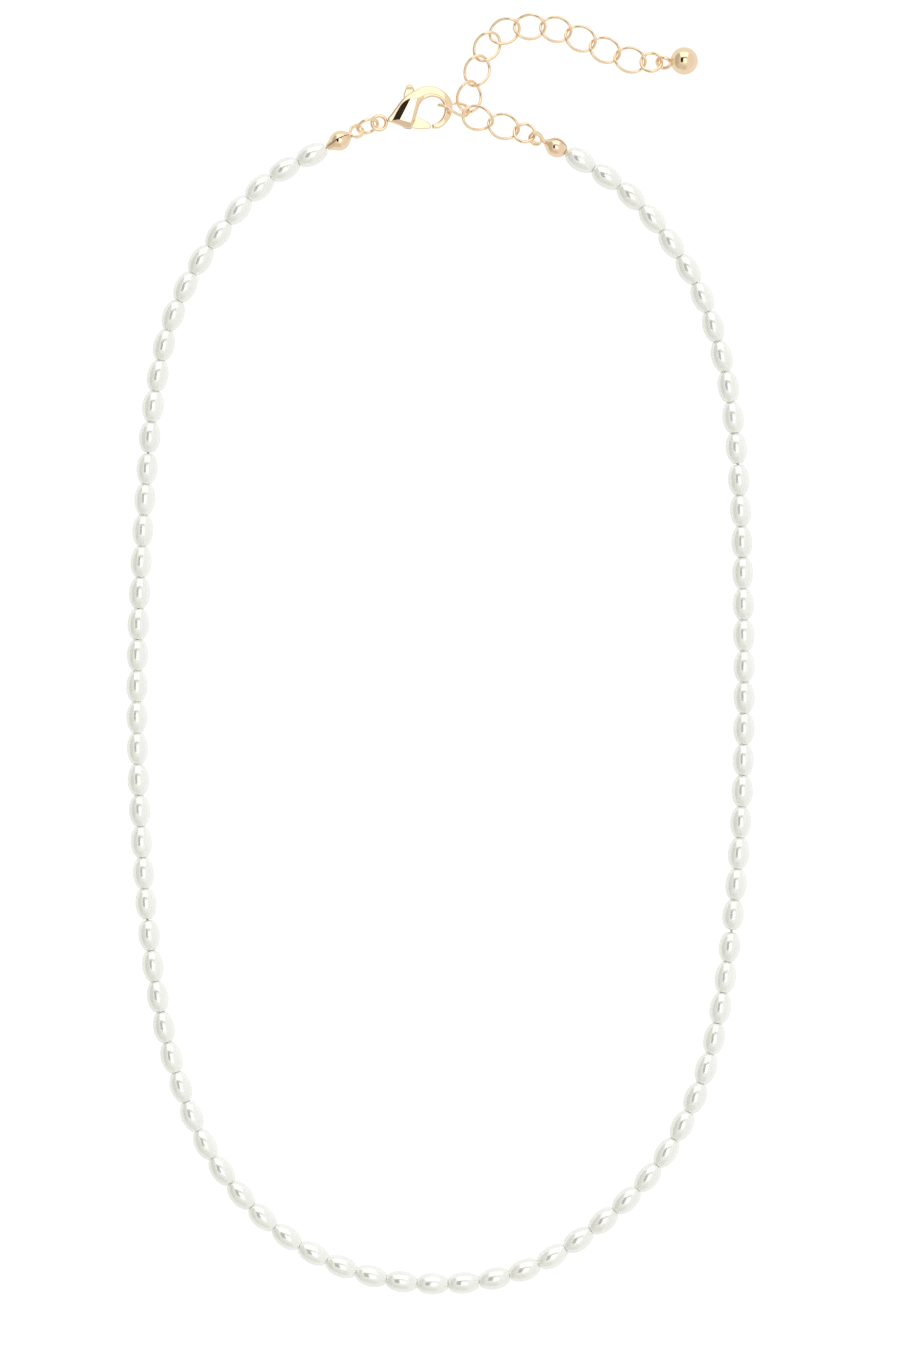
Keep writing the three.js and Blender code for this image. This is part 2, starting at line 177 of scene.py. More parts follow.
def new_group(name, inputs, outputs):
    """A shader node group. Inputs are (name, kind, default); outputs are (name, kind)."""
    tree = bpy.data.node_groups.new(name, "ShaderNodeTree")
    for title, kind, default in inputs:
        made = tree.interface.new_socket(title, in_out="INPUT", socket_type=kind)
        made.default_value = default
    for title, kind in outputs:
        tree.interface.new_socket(title, in_out="OUTPUT", socket_type=kind)
    return tree, add_node(tree, "NodeGroupInput"), add_node(tree, "NodeGroupOutput")


# %% Group 1: soft clouds of two colours


def make_clouds_group():
    tree, given, result = new_group(
        "soft_clouds",
        [
            ("Scale", "NodeSocketFloat", 300.0),
            ("Contrast", "NodeSocketFloat", 1.5),
            ("Colour A", "NodeSocketColor", (1, 1, 1, 1)),
            ("Colour B", "NodeSocketColor", (0.5, 0.5, 0.5, 1)),
        ],
        [("Colour", "NodeSocketColor")],
    )
    link = tree.links.new
    place = add_node(tree, "ShaderNodeTexCoord")
    noise = add_node(tree, "ShaderNodeTexNoise", noise_dimensions="3D")
    set_inputs(noise, Detail=4.0, Roughness=0.55)
    link(place.outputs["Object"], noise.inputs["Vector"])
    link(given.outputs["Scale"], noise.inputs["Scale"])
    centred = add_math(tree, "SUBTRACT", noise.outputs["Fac"], 0.5)
    share = add_math(tree, "MULTIPLY_ADD", centred, given.outputs["Contrast"], 0.5, clamp=True)
    blend = add_node(tree, "ShaderNodeMix", data_type="RGBA")
    link(share, blend.inputs["Factor"])
    link(given.outputs["Colour A"], blend.inputs[6])
    link(given.outputs["Colour B"], blend.inputs[7])
    link(blend.outputs[2], result.inputs["Colour"])
    return tree


CLOUDS = make_clouds_group()

# %% Group 2: hair-fine handling scratches
# Two layers of noise, each drawn out along its own direction.
SCRATCH_TURNS = (0.5, 1.9)
SCRATCH_STRETCHES = ((1.0, 0.06, 0.5), (0.05, 1.0, 0.6))


def make_scratches_group():
    tree, given, result = new_group(
        "handling_scratches",
        [
            ("Scale", "NodeSocketFloat", 900.0),
            ("Base Roughness", "NodeSocketFloat", 0.1),
            ("Extra Roughness", "NodeSocketFloat", 0.1),
        ],
        [("Roughness", "NodeSocketFloat"), ("Height", "NodeSocketFloat")],
    )
    link = tree.links.new
    place = add_node(tree, "ShaderNodeTexCoord")
    layers = []
    for turn, stretch in zip(SCRATCH_TURNS, SCRATCH_STRETCHES):
        squeeze = add_node(tree, "ShaderNodeMapping")
        set_inputs(squeeze, Rotation=(0.3, 0.2, turn), Scale=stretch)
        noise = add_node(tree, "ShaderNodeTexNoise", noise_dimensions="3D")
        set_inputs(noise, Detail=3.0, Roughness=0.7)
        pick = add_node(tree, "ShaderNodeMapRange", clamp=True)
        set_inputs(pick, From_Min=0.56, From_Max=0.7)
        link(place.outputs["Object"], squeeze.inputs["Vector"])
        link(squeeze.outputs["Vector"], noise.inputs["Vector"])
        link(given.outputs["Scale"], noise.inputs["Scale"])
        link(noise.outputs["Fac"], pick.inputs["Value"])
        layers.append(pick.outputs["Result"])
    depth = add_math(tree, "MAXIMUM", *layers)
    extra, base = given.outputs["Extra Roughness"], given.outputs["Base Roughness"]
    link(add_math(tree, "MULTIPLY_ADD", depth, extra, base), result.inputs["Roughness"])
    link(depth, result.inputs["Height"])
    return tree


SCRATCHES = make_scratches_group()
print("shared effects:", CLOUDS.name, SCRATCHES.name)

# %% [markdown]
# ## Finishes
#
# A dipped or cultured pearl is a pale body under many thin, clear layers. The layers throw back part of
# the light like a soft mirror, and the rest sinks in and comes back milky. A part-metallic Principled
# shader with a clear coat gives both at once, and a thin film adds the faint shift of colour.
#
# The findings are brass under a champagne gold plate, polished in a tumbler. The plate is a metal, so its
# base colour is the colour of its reflections. The clouds move it between a rosy and a yellower gold.

# %% Helpers: a material with a Principled shader, and the shared effects on it


def new_finish(name):
    finish = bpy.data.materials.new(name)
    finish.use_nodes = True
    tree = finish.node_tree
    return finish, tree, tree.nodes["Principled BSDF"]


def add_clouds(tree, shader, scale, contrast, colour_a, colour_b):
    clouds = add_node(tree, "ShaderNodeGroup", node_tree=CLOUDS)
    set_inputs(clouds, Scale=scale, Contrast=contrast, Colour_A=(*colour_a, 1), Colour_B=(*colour_b, 1))
    tree.links.new(clouds.outputs["Colour"], shader.inputs["Base Color"])


def add_scratches(tree, shader, scale, base, extra, bump_distance):
    scratches = add_node(tree, "ShaderNodeGroup", node_tree=SCRATCHES)
    set_inputs(scratches, Scale=scale, Base_Roughness=base, Extra_Roughness=extra)
    bump = add_node(tree, "ShaderNodeBump", invert=True)
    set_inputs(bump, Strength=0.3, Distance=bump_distance)
    tree.links.new(scratches.outputs["Roughness"], shader.inputs["Roughness"])
    tree.links.new(scratches.outputs["Height"], bump.inputs["Height"])
    tree.links.new(bump.outputs["Normal"], shader.inputs["Normal"])


# %% Pearl


def make_pearl_finish():
    finish, tree, shader = new_finish("pearl_nacre")
    add_clouds(tree, shader, 160.0, 2.0, (0.97, 0.975, 0.95), (0.92, 0.93, 0.89))
    add_scratches(tree, shader, 700.0, 0.15, 0.04, 1e-6)
    set_inputs(
        shader,
        Metallic=0.42,
        Coat_Weight=0.6,
        Coat_Roughness=0.04,
        Coat_IOR=1.5,
        Thin_Film_Thickness=260.0,
        Thin_Film_IOR=1.45,
    )
    return finish


PEARL = make_pearl_finish()

# %% Champagne gold plate


def make_gold_finish():
    finish, tree, shader = new_finish("champagne_gold")
    add_clouds(tree, shader, 220.0, 2.2, (0.93, 0.70, 0.51), (0.91, 0.73, 0.47))
    add_scratches(tree, shader, 1500.0, 0.07, 0.08, 3e-6)
    set_inputs(shader, Metallic=1.0)
    return finish


GOLD = make_gold_finish()

# %% Thread and steel
# The thread is waxed fibre, twisted from plies: a wave along the piece stands for the twist.


def make_thread_finish():
    finish, tree, shader = new_finish("waxed_thread")
    add_clouds(tree, shader, 900.0, 2.5, (0.86, 0.85, 0.80), (0.70, 0.69, 0.63))
    place = add_node(tree, "ShaderNodeTexCoord")
    plies = add_node(tree, "ShaderNodeTexWave", bands_direction="DIAGONAL")
    set_inputs(plies, Scale=900.0, Distortion=1.0)
    bump = add_node(tree, "ShaderNodeBump")
    set_inputs(bump, Strength=0.6, Distance=3e-5)
    tree.links.new(place.outputs["Object"], plies.inputs["Vector"])
    tree.links.new(plies.outputs["Fac"], bump.inputs["Height"])
    tree.links.new(bump.outputs["Normal"], shader.inputs["Normal"])
    set_inputs(shader, Roughness=0.7, Sheen_Weight=0.3)
    return finish


def make_steel_finish():
    finish, tree, shader = new_finish("plain_steel")
    add_clouds(tree, shader, 500.0, 2.0, (0.62, 0.61, 0.59), (0.50, 0.49, 0.47))
    add_scratches(tree, shader, 1200.0, 0.22, 0.15, 4e-6)
    set_inputs(shader, Metallic=1.0)
    return finish


THREAD = make_thread_finish()
STEEL = make_steel_finish()
print("finishes:", [finish.name for finish in (PEARL, GOLD, THREAD, STEEL)])

# %% [markdown]
# ## The line of the strand
#
# The pearls hang on one smooth line. Its points are listed and are the same as in the frame. A
# Catmull-Rom curve runs through them, and a table of lengths lets us ask for the point at any share of the
# whole length, so that 87 equal pearls share it out evenly.

# %% A curve through points


def catmull_rom(points, steps):
    """A smooth open line through the points, with so many steps from each point to the next."""
    points = np.array(points, float)
    before = np.vstack([2 * points[0] - points[1], points[:-1]])
    after = np.vstack([points[1:], 2 * points[-1] - points[-2]])
    slopes = (after - before) / 2
    shares = np.linspace(0, 1, steps, endpoint=False)[:, None]
    spans = []
    for start, end, leave, arrive in zip(points[:-1], points[1:], slopes[:-1], slopes[1:]):
        cubic = 2 * start - 2 * end + leave + arrive
        square = -3 * start + 3 * end - 2 * leave - arrive
        spans.append(cubic * shares**3 + square * shares**2 + leave * shares + start)
    return np.vstack([*spans, points[-1]])


# %% The route of the strand
PEARL_COUNT = 87
PEARL_RADIUS = 1.58
ROUTE = [
    [-16.7, 73.7], [-24.8, 69.4], [-31.1, 62.8], [-36.2, 55.4], [-39.8, 47.0], [-41.9, 36.0],
    [-43.1, 22.0], [-44.0, 5.0], [-44.2, -11.0], [-43.4, -30.0], [-41.5, -48.0], [-38.3, -61.5],
    [-32.9, -73.6], [-23.9, -83.6], [-12.5, -89.7], [0.0, -91.5], [12.5, -89.4], [24.0, -82.0],
    [32.2, -73.3], [38.1, -61.6], [41.2, -48.0], [43.2, -30.0], [44.0, -14.0], [44.0, 6.0],
    [43.4, 24.0], [41.9, 38.5], [38.6, 50.7], [34.0, 59.2], [27.0, 67.4], [18.35, 73.1],
]  # fmt: skip
route_line = catmull_rom([[x, y, PEARL_RADIUS] for x, y in ROUTE], 70)
route_lengths = np.concatenate([[0], np.cumsum(np.linalg.norm(np.diff(route_line, axis=0), axis=1))])
PEARL_PITCH = route_lengths[-1] / PEARL_COUNT


def strand_point(pearls):
    """The point on the strand so many pearls from its left end."""
    along = pearls * PEARL_PITCH
    return np.array([np.interp(along, route_lengths, route_line[:, axis]) for axis in range(3)])


print("strand length:", round(route_lengths[-1], 1), "mm; pitch:", round(PEARL_PITCH, 3), "mm")

# %% [markdown]
# ## The pearls
#
# A rice pearl is long rather than round, drilled end to end, and the drill leaves a small flat where it
# meets the next pearl. It could be a stretched sphere, but then it would have no hole and no flat. So each
# one is turned, as on a lathe: a profile runs over the outside, rounds into the hole and comes back
# through the bore, and is then swept round the axis.
#
# No two are quite alike. Each gets its own small change of girth, of fullness towards one end, and of the
# angle at which it sits on the thread.

# %% Turning a closed profile


def ring_quads(bands, rings, size):
    """Quads between each ring of points and the next; past the last ring comes the first."""
    quads = []
    for band in range(bands):
        here, there = band * size, (band + 1) % rings * size
        for nth in range(size):
            follow = (nth + 1) % size
            quads.append((here + nth, here + follow, there + follow, there + nth))
    return quads


def turned(profile, sides, start=0.0, sweep=2 * math.pi):
    """Corners and faces of a closed profile of (along, radius), swept round the X axis."""
    whole = sweep > 2 * math.pi - 1e-6
    rows = sides if whole else sides + 1
    angles = [start + sweep * row / sides for row in range(rows)]
    points = [
        (along, radius * math.cos(angle), radius * math.sin(angle))
        for angle in angles
        for along, radius in profile
    ]
    count = len(profile)
    faces = [(a, d, c, b) for a, b, c, d in ring_quads(sides, rows, count)]
    if not whole:
        faces.append(tuple(range(count)))
        faces.append(tuple(reversed(range((rows - 1) * count, rows * count))))
    return points, faces


def turned_on_axis(profile, sides):
    """As turned, for an open profile that starts and ends on the axis."""
    inner = profile[1:-1]
    count = len(inner)
    points, faces = turned(inner, sides)
    faces = [face for nth, face in enumerate(faces) if nth % count != count - 1]
    for along, corner, flip in ((profile[0][0], 0, True), (profile[-1][0], count - 1, False)):
        tip = len(points)
        points.append((along, 0.0, 0.0))
        for row in range(sides):
            here, there = row * count + corner, (row + 1) % sides * count + corner
            faces.append((tip, there, here) if flip else (tip, here, there))
    return points, faces


def moved(points, matrix):
    return [tuple(matrix @ Vector(point)) for point in points]


# %% The profile of one pearl
BORE_RADIUS = 0.36
RIM_ROUND = 0.12
TAPER = 0.872
OUTSIDE_STEPS = 26
RIM_STEPS = 4


def pearl_profile(length, girth, fullness):
    """Fullness moves the widest place a little towards one end."""
    half = length / 2
    outside = []
    for step in range(OUTSIDE_STEPS + 1):
        share = -math.cos(math.pi * step / OUTSIDE_STEPS)
        lean = share + fullness * (1 - share * share)
        radius = girth * math.sqrt(1 - (TAPER * lean) ** 2)
        outside.append((share * (half - RIM_ROUND / 2), radius))
    flat = outside[-1][1]
    far_rim = []
    for step in range(1, RIM_STEPS + 1):
        share = step / RIM_STEPS
        inwards = (flat - BORE_RADIUS) * share
        far_rim.append((half - RIM_ROUND * abs(2 * share - 1) ** 3 / 2, flat - inwards))
    near_rim = [(-along, radius) for along, radius in reversed(far_rim)]
    return outside + far_rim + near_rim


# %% Which body each pearl moves with
# The strand bends at four places, so its pearls belong to four bodies.
LEFT_BEND, LOW_BEND, OPEN_BEND, RIGHT_BEND = 12, 27, 60, 75
BENDS = {
    LEFT_BEND: ("upper_strand", "left_strand"),
    LOW_BEND: ("left_strand", "lower_strand"),
    OPEN_BEND: ("lower_strand", "right_strand"),
    RIGHT_BEND: ("right_strand", "upper_strand"),
}
TOUCH_GAP = 0.03
BEND_GAP = 0.2
OPEN_GAP = 0.42


def gap_after(pearls):
    if pearls == OPEN_BEND:
        return OPEN_GAP
    return BEND_GAP if pearls in BENDS else TOUCH_GAP


def strand_body(pearl):
    body = "upper_strand"
    for last, (_, after) in sorted(BENDS.items()):
        if pearl >= last:
            body = after
    return body


# %% String the pearls
PEARL_SIDES = 40
LEAST_GIRTH = 0.975
MOST_FULLNESS = 0.05
MOST_LEAN = 1.2


def lay_along(start, end, roll=0.0, lean=0.0):
    """A matrix that carries a piece made along X to the middle of a stretch."""
    middle = Vector((start + end) / 2)
    along = Vector(end - start)
    heading = math.atan2(along.y, along.x) + lean
    return Matrix.Translation(middle) @ Matrix.Rotation(heading, 4, "Z") @ Matrix.Rotation(roll, 4, "X")


for pearl in range(PEARL_COUNT):
    start = strand_point(pearl)
    end = strand_point(pearl + 1)
    before = gap_after(pearl) / 2
    after = gap_after(pearl + 1) / 2
    direction = (end - start) / np.linalg.norm(end - start)
    start = start + direction * before
    end = end - direction * after
    length = np.linalg.norm(end - start)
    girth = PEARL_RADIUS * random.uniform(LEAST_GIRTH, 1.0)
    profile = pearl_profile(length, girth, random.uniform(-MOST_FULLNESS, MOST_FULLNESS))
    points, faces = turned(profile, PEARL_SIDES)
    roll = random.uniform(0, math.pi)
    turn = lay_along(start, end, roll, math.radians(random.uniform(-MOST_LEAN, MOST_LEAN)))
    piece = new_piece(f"pearl_{pearl + 1:03d}", moved(points, turn), faces, sharp_degrees=60)
    hang(piece, strand_body(pearl), PEARL, "pearl", f"pearls_{pearl // 3 + 1:02d}")
print("pearls:", PEARL_COUNT)

# %% [markdown]
# ## Wire and thread
#
# Jump rings, links, loops and the thread are all one idea: a section pushed along a line. The sweep below
# carries a frame along the line without letting it twist, which keeps the wire's highlights straight. A
# closed line spreads what little twist is left over its whole length, so that the ends meet.

# %% Sweeping a section along a line


def circle(radius, sides):
    angles = [2 * math.pi * side / sides for side in range(sides)]
    return [(radius * math.cos(angle), radius * math.sin(angle)) for angle in angles]


STRIP_ROUNDING = 0.35
STRIP_STEPS = 4


def strip_section(width, thickness):
    """A flat strip with rounded edges; its width lies along the up direction."""
    points = []
    corner = thickness * STRIP_ROUNDING
    for quarter, (side, top) in enumerate(((1, 1), (-1, 1), (-1, -1), (1, -1))):
        for step in range(STRIP_STEPS + 1):
            angle = math.pi / 2 * (quarter + step / STRIP_STEPS)
            across = side * (thickness / 2 - corner) + corner * math.cos(angle)
            up = top * (width / 2 - corner) + corner * math.sin(angle)
            points.append((across, up))
    return points


def swept(line, section, closed=False, fixed_up=False):
    """Corners and faces of a section swept along a line; the section lies in (across, up).

    The up direction starts near +Z and is then carried along, or with fixed_up stays near +Z."""
    line = np.array(line, float)
    count = len(line)
    ahead = np.roll(line, -1, axis=0) if closed else np.vstack([line[1:], line[-1:]])
    behind = np.roll(line, 1, axis=0) if closed else np.vstack([line[:1], line[:-1]])
    tangents = ahead - behind
    tangents /= np.linalg.norm(tangents, axis=1)[:, None]
    above = np.array([0.0, 0.0, 1.0])
    ups = []
    up = above - tangents[0] * (above @ tangents[0])
    for tangent in tangents:
        if fixed_up:
            up = above
        up = up - tangent * (up @ tangent)
        up /= np.linalg.norm(up)
        ups.append(up)
    twist = 0.0
    if closed:
        last = ups[-1] - tangents[0] * (ups[-1] @ tangents[0])
        last /= np.linalg.norm(last)
        twist = math.atan2(np.cross(last, ups[0]) @ tangents[0], last @ ups[0])
    points = []
    for nth in range(count):
        up = Vector(ups[nth])
        tangent = Vector(tangents[nth])
        if closed:
            up = Matrix.Rotation(twist * nth / count, 3, tangent) @ up
        across = up.cross(tangent)
        centre = Vector(line[nth])
        points += [tuple(centre + across * a + up * b) for a, b in section]
    size = len(section)
    faces = ring_quads(count if closed else count - 1, count, size)
    if not closed:
        faces.append(tuple(reversed(range(size))))
        faces.append(tuple(range((count - 1) * size, count * size)))
    return points, faces


def joined(*shapes):
    """Several (points, faces) as one."""
    points = []
    faces = []
    for more_points, more_faces in shapes:
        start = len(points)
        points += list(more_points)
        faces += [tuple(start + corner for corner in face) for face in more_faces]
    return points, faces


# %% [markdown]
# ## The thread
#
# The thread is one length on the real piece. Here it is cut inside the pearls on each side of a bend, and
# a short bridge carries it over the gap. At the open bend no single joint
# links the two sides, so the two ends meet in the middle of the gap.

# %% Thread
THREAD_SECTION = circle(0.17, 10)
THREAD_STEP = 0.25
BRIDGE_REACH = 0.3
LEFT_TIP_AT = (-14.7, 74.8, PEARL_RADIUS)
RIGHT_TIP_AT = (16.75, 73.8, PEARL_RADIUS)


def thread_line(first, last):
    stops = np.arange(first, last, THREAD_STEP)
    return [strand_point(stop) for stop in [*stops, last]]


STRETCHES = {
    "upper_left": ("upper_strand", [LEFT_TIP_AT, *thread_line(0, LEFT_BEND - BRIDGE_REACH)]),
    "left": ("left_strand", thread_line(LEFT_BEND + BRIDGE_REACH, LOW_BEND - BRIDGE_REACH)),
    "lower": ("lower_strand", thread_line(LOW_BEND + BRIDGE_REACH, OPEN_BEND)),
    "right": ("right_strand", thread_line(OPEN_BEND, RIGHT_BEND - BRIDGE_REACH)),
    "upper_right": (
        "upper_strand",
        [*thread_line(RIGHT_BEND + BRIDGE_REACH, PEARL_COUNT), RIGHT_TIP_AT],
    ),
}
for side, (body, line) in STRETCHES.items():
    piece = new_piece(f"thread_{side}", *swept(line, THREAD_SECTION), sharp_degrees=60)
    hang(piece, body, THREAD, "thread", f"thread_{side}")

# %% Thread bridges at the three jointed bends
for bend, (before, after) in BENDS.items():
    if bend == OPEN_BEND:
        continue
    stops = np.linspace(bend - BRIDGE_REACH, bend + BRIDGE_REACH, 13)
    line = [strand_point(stop) for stop in stops]
    bridge = new_piece(f"thread_bridge_{bend}", *swept(line, THREAD_SECTION), sharp_degrees=60)
    bridge.data.materials.append(THREAD)
    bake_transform(bridge)
print("thread pieces:", len(STRETCHES), "bridges:", len(BENDS) - 1)

# %% [markdown]
# ## Rings and links
#
# A jump ring is a turn of wire cut from a coil, so its ends butt together in a fine seam. A curb link is
# drawn out into an oval and each end is then twisted out of flat, one this way and one that way, which is
# what lets a curb chain lie down. A ready-made torus would have no seam and no twist, so each one is a
# wire swept round its own oval. Heading, pitch and roll say how it lies.

# %% Placing a piece by heading, pitch and roll


def placed(at, heading=0.0, pitch=0.0, roll=0.0):
    turns = (
        Matrix.Rotation(math.radians(heading), 4, "Z")
        @ Matrix.Rotation(math.radians(-pitch), 4, "Y")
        @ Matrix.Rotation(math.radians(roll), 4, "X")
    )
    return Matrix.Translation(Vector(at)) @ turns


# %% A split loop of wire
SEAM_WIDTH = 0.035
WIRE_SIDES = 16
WIRE_STEPS = 84


def wire_loop(half_length, half_width, wire_radius, twist_degrees=0.0, seam_degrees=90.0):
    """An oval of round wire, twisted at its ends and cut at the seam."""
    opening = SEAM_WIDTH / half_width
    first = math.radians(seam_degrees) + opening / 2
    line = []
    for angle in np.linspace(first, first + 2 * math.pi - opening, WIRE_STEPS):
        along = math.cos(angle)
        twist = math.radians(twist_degrees) * along
        side = half_width * math.sin(angle)
        line.append((half_length * along, side * math.cos(twist), side * math.sin(twist)))
    return swept(line, circle(wire_radius, WIRE_SIDES))


# %% Jump rings
RING_RADIUS = 1.51
RING_WIRE_RADIUS = 0.24
RINGS = {
    "jump_ring_left": ("left_ring", placed((-10.65, 76.9, 1.55), 20, 0, 57), -120.0),
    "jump_ring_right": ("right_ring", placed((12.15, 75.95, 0.95), -22, 9, -26), -60.0),
    "jump_ring_end": ("end_ring", placed((30.6, 86.25, 0.9), 2, 3, -25), 97.0),
}
for name, (body, pose, seam) in RINGS.items():
    points, faces = wire_loop(RING_RADIUS, RING_RADIUS, RING_WIRE_RADIUS, 0.0, seam)
    piece = new_piece(f"{name}_wire", moved(points, pose), faces)
    hang(piece, body, GOLD, "gold", name)
print("jump rings:", len(RINGS))

# %% Extender links
LINK_HALF_LENGTH = 2.26
LINK_HALF_WIDTH = 1.77
LINK_WIRE_RADIUS = 0.215
LINK_TWIST = 27
LINK_REST_HEIGHT = 0.66
END_RING_AT = (30.6, 86.25)
HOOKED_LINKS = [
    ((9.1, 76.9, 0.9), -18, -3, 5),
    ((5.35, 78.05, 1.3), -20, -10, 20),
    ((1.85, 79.5, 1.8), -11, -12, -66),
    ((4.1, 81.25, 0.9), 83, 5, 16),
]
TAIL_LINKS = [
    (5.25, 85.0), (6.7, 88.5), (9.25, 90.75), (12.9, 91.4),
    (16.7, 91.05), (20.3, 89.7), (23.85, 88.05), (27.5, 86.6),
]  # fmt: skip


def link_poses():
    poses = [placed(*pose) for pose in HOOKED_LINKS]
    stops = [HOOKED_LINKS[-1][0][:2], *TAIL_LINKS, END_RING_AT]
    for before, at, after in zip(stops[:-2], stops[1:-1], stops[2:]):
        heading = math.degrees(math.atan2(after[1] - before[1], after[0] - before[0]))
        poses.append(placed((*at, LINK_REST_HEIGHT), heading))
    return poses


for number, pose in enumerate(link_poses(), start=1):
    seam = 90.0 if number % 2 else -90.0
    points, faces = wire_loop(LINK_HALF_LENGTH, LINK_HALF_WIDTH, LINK_WIRE_RADIUS, LINK_TWIST, seam)
    piece = new_piece(f"link_{number:02d}", moved(points, pose), faces)
    hang(piece, f"link_{number:02d}", GOLD, "gold", f"extender_link_{number:02d}")
print("links:", number)

# %% [markdown]
# ## The end ball and its eye pin
#
# The ball is a bead drilled from one side, and the hole's rim is softened. A pin is fixed in the hole, and
# its other end is curled into an eye that hangs in the last jump ring. A boolean could drill a sphere, but
# a turned profile gives the ball, its rim and its hole in clean rings of faces.

# %% End ball
BALL_RADIUS = 2.0
BALL_BORE_RADIUS = 0.36
BALL_BORE_DEPTH = 3.0
BALL_RIM = 0.06
BALL_AT = (35.35, 86.35, 2.02)
BALL_POSE = placed(BALL_AT, 4, 18, 0)


def ball_profile():
    """From the bottom of the bore, out over the rim, round the ball and to the axis."""
    reach = math.acos((BALL_BORE_RADIUS + BALL_RIM) / BALL_RADIUS)
    rim = -BALL_RADIUS * math.sin(reach)
    bore = [
        (BALL_BORE_DEPTH - BALL_RADIUS, 0.0),
        (BALL_BORE_DEPTH - BALL_RADIUS, BALL_BORE_RADIUS),
        (rim + BALL_RIM, BALL_BORE_RADIUS),
        (rim + BALL_RIM / 4, BALL_BORE_RADIUS + BALL_RIM / 3),
    ]
    outside = [
        (BALL_RADIUS * math.sin(angle), BALL_RADIUS * math.cos(angle))
        for angle in np.linspace(-reach, math.pi / 2, 40)[:-1]
    ]
    return [*bore, *outside, (BALL_RADIUS, 0.0)]


points, faces = turned_on_axis(ball_profile(), 56)
ball = new_piece("drilled_ball", moved(points, BALL_POSE), faces, sharp_degrees=50)
hang(ball, "ball", GOLD, "gold", "end_ball")

# %% Eye pin
PIN_RADIUS = 0.27
EYE_RADIUS = 0.975
EYE_DISTANCE = 3.1
EYE_ROLL = 42
EYE_START, EYE_END = math.radians(12), math.radians(338)
PIN_IN_BORE = 0.7
PIN_BEND_AT = -1.8


def eye_pin_line():
    """From inside the ball's bore, out of the ball, and once round the eye."""
    shank = [(x, 0.0, 0.0) for x in np.linspace(PIN_IN_BORE, PIN_BEND_AT, 10)]
    eye = [
        (-EYE_DISTANCE + EYE_RADIUS * math.cos(angle), EYE_RADIUS * math.sin(angle), 0.0)
        for angle in np.linspace(EYE_START, EYE_END, 56)
    ]
    return shank + eye


pin_pose = placed(BALL_AT, 4, 18, EYE_ROLL)
points, faces = swept(eye_pin_line(), circle(PIN_RADIUS, WIRE_SIDES))
pin = new_piece("eye_pin", moved(points, pin_pose), faces)
hang(pin, "ball", GOLD, "gold", "ball_eye_pin")
print("ball:", 2 * BALL_RADIUS, "mm")

# %% [markdown]
# ## Bead tips
#
# A clamshell bead tip hides the crimp on the thread's end. It is one piece of thin sheet: two half cups
# that are squeezed shut round the crimp, so that a fine dark seam is left where they meet, and a narrow
# tab that is curled into a loop. Thickening a cut sphere would give an even bowl, but the real one has a
# neck towards the pearls and a nose towards the loop. So each half cup is a part turn of a thin profile,
# and the tab is a strip swept round the loop. The two necks differ a little in length.

# %% One bead tip
CUP_BOWL = [
    (-1.36, 0.84), (-0.95, 1.15), (-0.45, 1.37), (0.0, 1.42), (0.45, 1.37), (0.9, 1.16), (1.22, 0.9),
    (1.5, 0.64), (1.72, 0.47),
]  # fmt: skip
CUP_WALL = 0.2
CUP_HOLLOW_RADIUS = 0.2
NECK_RIM = [(0.0, 0.46), (0.12, 0.5)]
SEAM_HALF_ANGLE = math.radians(2.6)
TAB_START, TAB_END = 1.3, 1.65
LOOP_WIDTH = 0.82
LOOP_THICKNESS = 0.32
LOOP_RADIUS = 0.93
LOOP_LEAD, LOOP_SWEEP = math.radians(14), math.radians(318)


def cup_profile(neck):
    rim = [(along - neck, radius) for along, radius in NECK_RIM]
    outside = catmull_rom([*rim, *CUP_BOWL], 4)
    slope = np.gradient(outside, axis=0)
    slope /= np.linalg.norm(slope, axis=1)[:, None]
    inwards = np.stack([slope[:, 1], -slope[:, 0]], axis=1)
    inside = outside + inwards * CUP_WALL
    inside[:, 1] = np.maximum(inside[:, 1], CUP_HOLLOW_RADIUS)
    return [tuple(point) for point in outside] + [tuple(point) for point in inside[::-1]]


def half_cups(neck, seam_roll):
    """Two half cups, with the seam turned round the axis by seam_roll."""
    profile = cup_profile(neck)
    sweep = math.pi - 2 * SEAM_HALF_ANGLE
    first = math.pi / 2 + seam_roll + SEAM_HALF_ANGLE
    return joined(turned(profile, 26, first, sweep), turned(profile, 26, first + math.pi, sweep))


def tab_and_loop(tip_pose, loop_pose):
    """A strip from between the cups, curled once round the loop's middle."""
    to_loop = loop_pose.inverted()
    leave, arrive = (to_loop @ (tip_pose @ Vector((along, 0, 0))) for along in (TAB_START, TAB_END))
    first = math.atan2(arrive.y, arrive.x) + LOOP_LEAD
    angles = np.linspace(first, first + LOOP_SWEEP, 48)
    ring = [(LOOP_RADIUS * math.cos(angle), LOOP_RADIUS * math.sin(angle), 0.0) for angle in angles]
    lead = catmull_rom([tuple(leave), tuple(arrive), ring[0]], 5)[:-1]
    line = [tuple(point) for point in lead] + ring
    points, faces = swept(line, strip_section(LOOP_WIDTH, LOOP_THICKNESS), fixed_up=True)
    return moved(points, loop_pose), faces


def add_bead_tip(side, at, heading, neck, loop_pose, seam_roll):
    tip_pose = placed(at, heading)
    points, faces = half_cups(neck, seam_roll)
    shapes = joined((moved(points, tip_pose), faces), tab_and_loop(tip_pose, loop_pose))
    piece = new_piece(f"clamshell_{side}", *shapes)
    return hang(piece, "upper_strand", GOLD, "gold", f"bead_tip_{side}")


left_loop = placed((-12.25, 76.2, 1.4), 23, 1, -25)
right_loop = placed((13.8, 75.15, 1.25), -31, 1, 41)
add_bead_tip("left", LEFT_TIP_AT, 29, 2.12, left_loop, math.radians(-12))
add_bead_tip("right", RIGHT_TIP_AT, 155, 1.66, right_loop, math.radians(50))
print("bead tips: 2")

